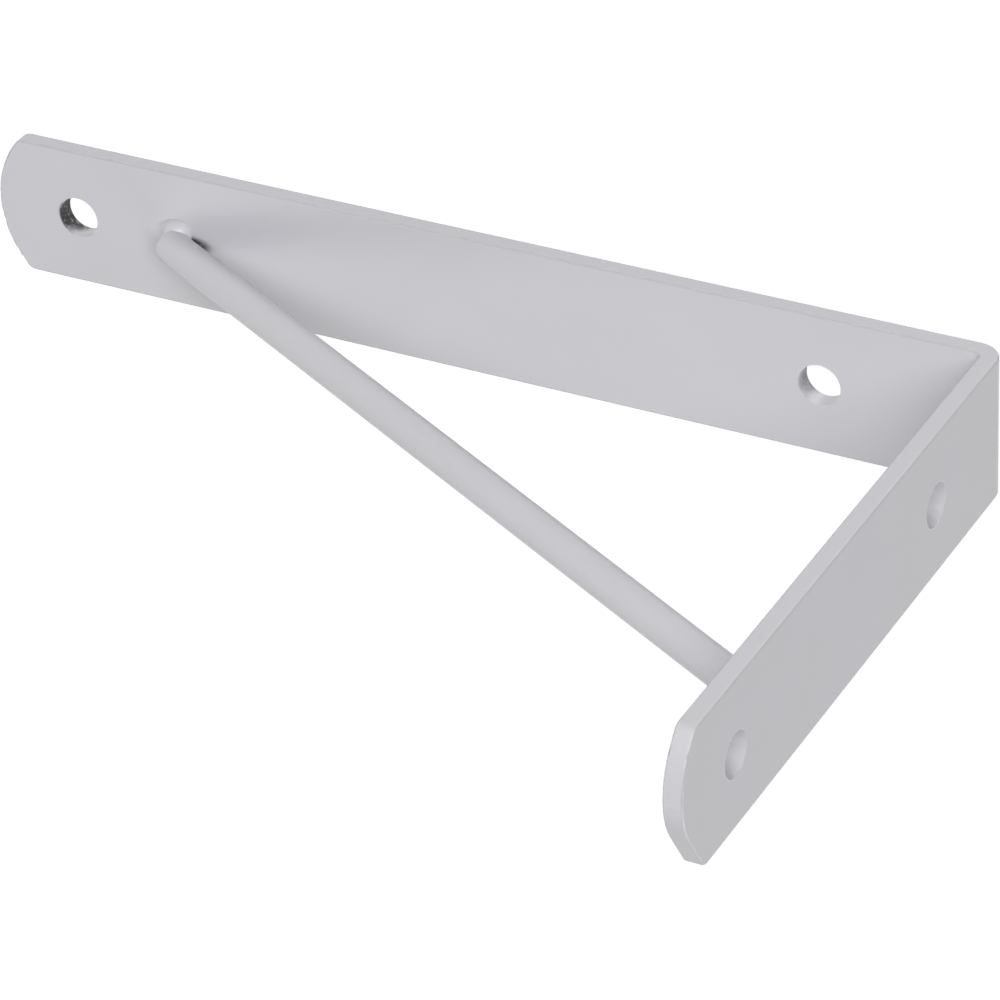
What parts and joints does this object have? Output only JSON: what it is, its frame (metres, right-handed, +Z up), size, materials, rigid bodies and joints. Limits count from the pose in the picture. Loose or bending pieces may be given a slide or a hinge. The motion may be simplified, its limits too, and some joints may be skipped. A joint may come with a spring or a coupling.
{
  "type": "gallows shelf bracket",
  "caption": "L-shaped flat-bar shelf bracket with a round diagonal brace welded across the corner, rounded leg ends and plain screw holes in both legs.",
  "frame": {"origin": "midway between the two screw holes of the wall leg, on the face that bears on the wall", "axes": "+X out of the wall along the shelf leg, +Y across the bar, +Z up towards the shelf face"},
  "size_m": [0.1163, 0.025, 0.1834],
  "materials": {
    "strap_paint": "smooth pale grey semi-gloss paint over steel bar, thin inside the lower wall hole",
    "rod_paint": "smooth pale grey semi-gloss paint over round steel bar",
    "weld_paint": "smooth pale grey semi-gloss paint over a weld bead"
  },
  "bodies": {
    "root": {"angle_strap": "strap_paint", "brace_rod": "rod_paint", "wall_weld": "weld_paint", "shelf_weld": "weld_paint"}
  },
  "joints": []
}
